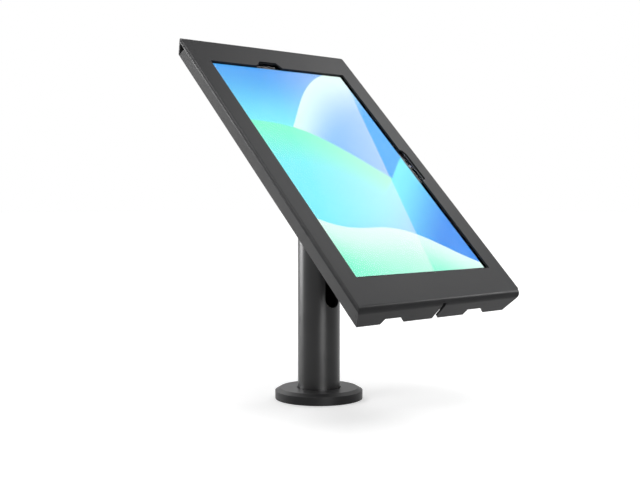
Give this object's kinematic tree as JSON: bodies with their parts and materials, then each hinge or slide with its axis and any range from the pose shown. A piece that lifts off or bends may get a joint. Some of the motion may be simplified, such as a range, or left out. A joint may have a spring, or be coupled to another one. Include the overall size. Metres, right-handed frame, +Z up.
{
  "type": "tablet security enclosure",
  "caption": "Bent-sheet tablet enclosure with a lock, tilting and turning on a counter pole with a round base.",
  "frame": {"origin": "on the counter at the pole's axis, the centre of the counter bolts' circle", "axes": "+Z up the pole, -Y the way the screen faces, +X to the right of somebody facing the screen"},
  "size_m": [0.2236, 0.2649, 0.3587],
  "materials": {
    "stand_coat": "satin powder coat",
    "enclosure_coat": "satin powder coat",
    "flange_steel": "matt black",
    "gasket_rubber": "matt",
    "zinc_steel": "zinc plated",
    "black_steel": "black oxide",
    "glide_plastic": "natural",
    "tablet_metal": "anodised",
    "tablet_glass": "clear",
    "tablet_display": "lit display",
    "battery_film": "matt film",
    "board": "solder mask",
    "camera_glass": "polished",
    "foam": "closed-cell foam",
    "lock_chrome": "polished nickel"
  },
  "bodies": {
    "stand": {"counter_gasket": "gasket_rubber", "mounting_flange": "flange_steel", "pole_tube": "stand_coat", "hinge_post": "stand_coat", "grub_screws": "black_steel", "hinge_bolt": "zinc_steel", "hinge_nut": "zinc_steel", "hinge_washers": "zinc_steel"},
    "base_cover": {"base_cover": "stand_coat"},
    "tilt_head": {"tilt_knuckle": "stand_coat", "friction_discs": "glide_plastic", "glide_ring": "glide_plastic", "pivot_bolt": "zinc_steel", "pivot_washer": "zinc_steel", "stop_pin": "zinc_steel"},
    "enclosure": {"vesa_plate": "enclosure_coat", "vesa_screws": "black_steel", "back_plate": "enclosure_coat", "press_nuts": "zinc_steel", "tablet_housing": "tablet_metal", "tablet_glass": "tablet_glass", "tablet_display": "tablet_display", "tablet_battery": "battery_film", "tablet_board": "board", "front_camera": "camera_glass", "rear_camera": "camera_glass", "back_pads": "foam", "end_blocks": "foam", "lock_body": "lock_chrome", "lock_nut": "lock_chrome"},
    "power_button": {"power_button": "tablet_metal"},
    "volume_button": {"volume_button": "tablet_metal"},
    "cover": {"front_cover": "enclosure_coat", "latch_rail": "enclosure_coat", "side_foam": "foam"},
    "lock": {"lock_plug": "lock_chrome", "lock_cam": "lock_chrome", "cam_screw": "lock_chrome"}
  },
  "joints": [
    {"name": "base_cover_slide", "type": "slide", "parent": "stand", "child": "base_cover", "axis": [0, 0, 1], "range_m": [0, 0.06]},
    {"name": "tilt", "type": "hinge", "parent": "stand", "child": "tilt_head", "pos_m": [0, 0, 0.1923], "axis": [1, 0, 0], "range_deg": [-45, 45]},
    {"name": "rotation", "type": "hinge", "parent": "tilt_head", "child": "enclosure", "pos_m": [0, 0, 0.1923], "axis": [0, -0.7071, 0.7071], "range_deg": [0, 90]},
    {"name": "cover_open", "type": "hinge", "parent": "enclosure", "child": "cover", "pos_m": [0, 0.09468, 0.34751], "axis": [-1, 0, 0], "range_deg": [0, 40]},
    {"name": "lock_turn", "type": "hinge", "parent": "enclosure", "child": "lock", "pos_m": [0.048, -0.14269, 0.11013], "axis": [0, 0.7071, -0.7071], "range_deg": [0, 90]},
    {"name": "power_press", "type": "slide", "parent": "enclosure", "child": "power_button", "axis": [0, -0.7071, -0.7071], "range_m": [0, 0.0004], "stiffness_N_per_m": 2000},
    {"name": "volume_press", "type": "slide", "parent": "enclosure", "child": "volume_button", "axis": [0, -0.7071, -0.7071], "range_m": [0, 0.0004], "stiffness_N_per_m": 2000}
  ]
}
